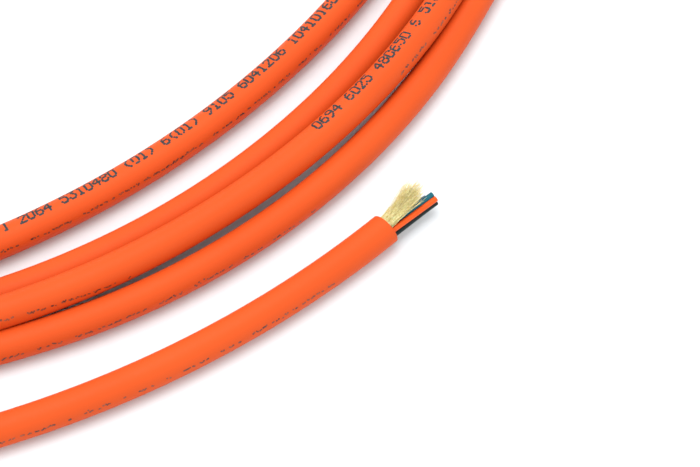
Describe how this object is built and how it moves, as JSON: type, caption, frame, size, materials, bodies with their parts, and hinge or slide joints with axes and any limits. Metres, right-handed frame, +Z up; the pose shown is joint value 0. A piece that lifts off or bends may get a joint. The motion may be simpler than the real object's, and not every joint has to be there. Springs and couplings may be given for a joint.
{
  "type": "stripped indoor fibre cable coil",
  "caption": "Loose round coil of orange tight-buffered fibre cable, one end stripped to bare coloured fibres and yarn, held by a hook-and-loop strap.",
  "frame": {"origin": "on the surface that the coil lies on, under the middle of the whole part", "axes": "+Z up out of the coil; the stripped end points away to +X +Y from the coil's +X -Y side, and the strap is on the far side at -X +Y"},
  "size_m": [0.2744, 0.2824, 0.0138],
  "materials": {
    "jacket_pvc": "extruded orange PVC, satin, with black ink-jet marks",
    "buffer_blue": "satin tight buffer, blue",
    "buffer_orange": "satin tight buffer, orange",
    "buffer_green": "satin tight buffer, green",
    "buffer_brown": "satin tight buffer, brown",
    "buffer_slate": "satin tight buffer, slate",
    "buffer_white": "satin tight buffer, white",
    "fibre_glass": "clear drawn silica, polished",
    "aramid_yarn": "loose golden filaments",
    "strap_nylon": "black hook-and-loop tape"
  },
  "bodies": {
    "cable": {"cable_coil": "jacket_pvc", "cable_tail": "jacket_pvc", "jacket_end": "jacket_pvc", "buffer_blue": "buffer_blue", "buffer_orange": "buffer_orange", "buffer_green": "buffer_green", "buffer_white": "buffer_white", "buffer_brown": "buffer_brown", "buffer_slate": "buffer_slate", "glass_blue": "fibre_glass", "glass_orange": "fibre_glass", "glass_green": "fibre_glass", "glass_white": "fibre_glass", "glass_brown": "fibre_glass", "glass_slate": "fibre_glass", "aramid_tuft_upper": "aramid_yarn", "aramid_tuft_middle": "aramid_yarn", "aramid_tuft_lower": "aramid_yarn", "far_tail": "jacket_pvc", "far_jacket_end": "jacket_pvc", "far_buffer_blue": "buffer_blue", "far_buffer_orange": "buffer_orange", "far_buffer_green": "buffer_green", "far_buffer_white": "buffer_white", "far_buffer_brown": "buffer_brown", "far_buffer_slate": "buffer_slate", "far_glass_blue": "fibre_glass", "far_glass_orange": "fibre_glass", "far_glass_green": "fibre_glass", "far_glass_white": "fibre_glass", "far_glass_brown": "fibre_glass", "far_glass_slate": "fibre_glass", "far_aramid_yarn": "aramid_yarn"},
    "tie": {"tie_strap": "strap_nylon"}
  },
  "joints": [
    {"name": "tie_slide", "type": "hinge", "parent": "cable", "child": "tie", "pos_m": [0.0008, 0.00348, 0], "axis": [0, 0, 1], "range_deg": [-10, 10]}
  ]
}
